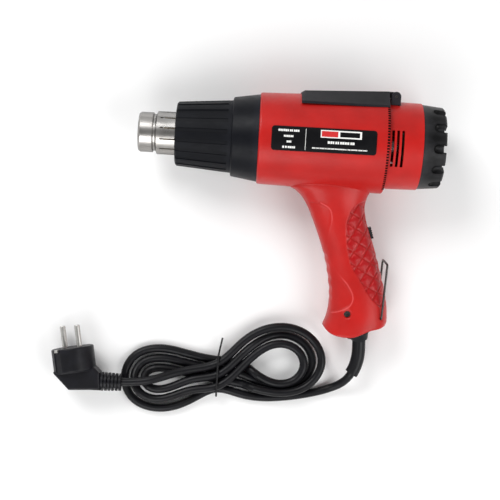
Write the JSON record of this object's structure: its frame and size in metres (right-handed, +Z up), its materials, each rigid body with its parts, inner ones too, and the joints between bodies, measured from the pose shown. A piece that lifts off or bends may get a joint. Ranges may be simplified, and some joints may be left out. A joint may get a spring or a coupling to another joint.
{
  "type": "heat gun",
  "caption": "Pistol-grip hot air gun with a ribbed heat guard, rear temperature dial, fold-out stand, hanging bail and coiled mains lead.",
  "frame": {"origin": "centre of the nozzle mouth, on the air axis", "axes": "gun lying on its flank on a bench: +X from the nozzle mouth to the rear along the air axis, +Y to the top of the gun, +Z up off the bench"},
  "size_m": [0.3251, 0.2898, 0.0831],
  "materials": {
    "stainless": "bright rolled stainless sheet, faint heat tint",
    "guard_plastic": "matte ribbed glass-filled nylon",
    "collar_plastic": "satin moulded nylon",
    "red_plastic": "satin red ABS",
    "black_plastic": "moulded black nylon",
    "dial_plastic": "moulded charcoal nylon with a fine texture",
    "stand_plastic": "satin charcoal nylon",
    "switch_plastic": "black moulded plastic",
    "steel": "bright drawn steel",
    "screw_steel": "darkened steel",
    "soft_black": "satin black sheath",
    "plug_rubber": "matte moulded rubber",
    "plated_brass": "nickel-plated brass",
    "label_film": "black printed film",
    "tie_wire": "plastic-coated wire",
    "mica": "mica board",
    "resistance_wire": "oxidised resistance wire",
    "aluminium": "satin aluminium",
    "copper": "enamelled copper on laminations",
    "magnet": "ferrite",
    "sintered_bronze": "oil-soaked sintered bronze",
    "board": "glass-epoxy board",
    "wire_skin": "woven heat-proof sleeve"
  },
  "bodies": {
    "gun": {"nozzle_tube": "stainless", "nozzle_guard": "guard_plastic", "front_collar": "collar_plastic", "left_shell": "red_plastic", "right_shell": "red_plastic", "motor_cover": "red_plastic", "switch_body": "black_plastic", "air_duct": "black_plastic", "motor_carrier": "black_plastic", "cord_clamp": "black_plastic", "stand_lugs": "stand_plastic", "motor_can": "steel", "stand_pin": "screw_steel", "shell_screws": "screw_steel", "base_screw": "screw_steel", "clamp_screws": "screw_steel", "power_cable": "soft_black", "cable_boot": "soft_black", "plug_body": "plug_rubber", "plug_pins": "plated_brass", "earth_clips": "plated_brass", "rating_label": "label_film", "cable_tie": "tie_wire", "mica_tube": "mica", "mica_core": "mica", "heater_flange": "mica", "heater_coil": "resistance_wire", "triac_heat_sink": "aluminium", "thermal_cutout": "aluminium", "capacitor": "aluminium", "suppression_choke": "copper", "motor_magnets": "magnet", "motor_bushes": "sintered_bronze", "control_board": "board", "potentiometer": "board", "internal_wires": "wire_skin"},
    "rotor": {"rotor_shaft": "steel", "armature": "copper", "fan_impeller": "black_plastic"},
    "dial": {"temperature_dial": "dial_plastic", "dial_shaft": "steel"},
    "stand": {"stand_leg": "stand_plastic"},
    "bail": {"hanging_bail": "screw_steel"},
    "slider": {"switch_slider": "switch_plastic"}
  },
  "joints": [
    {"name": "rotor_spin", "type": "hinge", "parent": "gun", "child": "rotor", "pos_m": [0.19, 0, 0], "axis": [1, 0, 0], "continuous": true},
    {"name": "dial_turn", "type": "hinge", "parent": "gun", "child": "dial", "pos_m": [0.25, 0, 0], "axis": [1, 0, 0], "range_deg": [0, 270]},
    {"name": "stand_fold", "type": "hinge", "parent": "gun", "child": "stand", "pos_m": [0.2144, 0.04089, 0.00502], "axis": [0, 0.1219, -0.9925], "range_deg": [0, 123]},
    {"name": "bail_swing", "type": "hinge", "parent": "gun", "child": "bail", "pos_m": [0.2146, -0.1462, -0.01795], "axis": [0, 0.1219, -0.9925], "range_deg": [0, 165]},
    {"name": "switch_slide", "type": "slide", "parent": "gun", "child": "slider", "axis": [-0.2983, 0.9474, 0.1163], "range_m": [0, 0.008]}
  ]
}
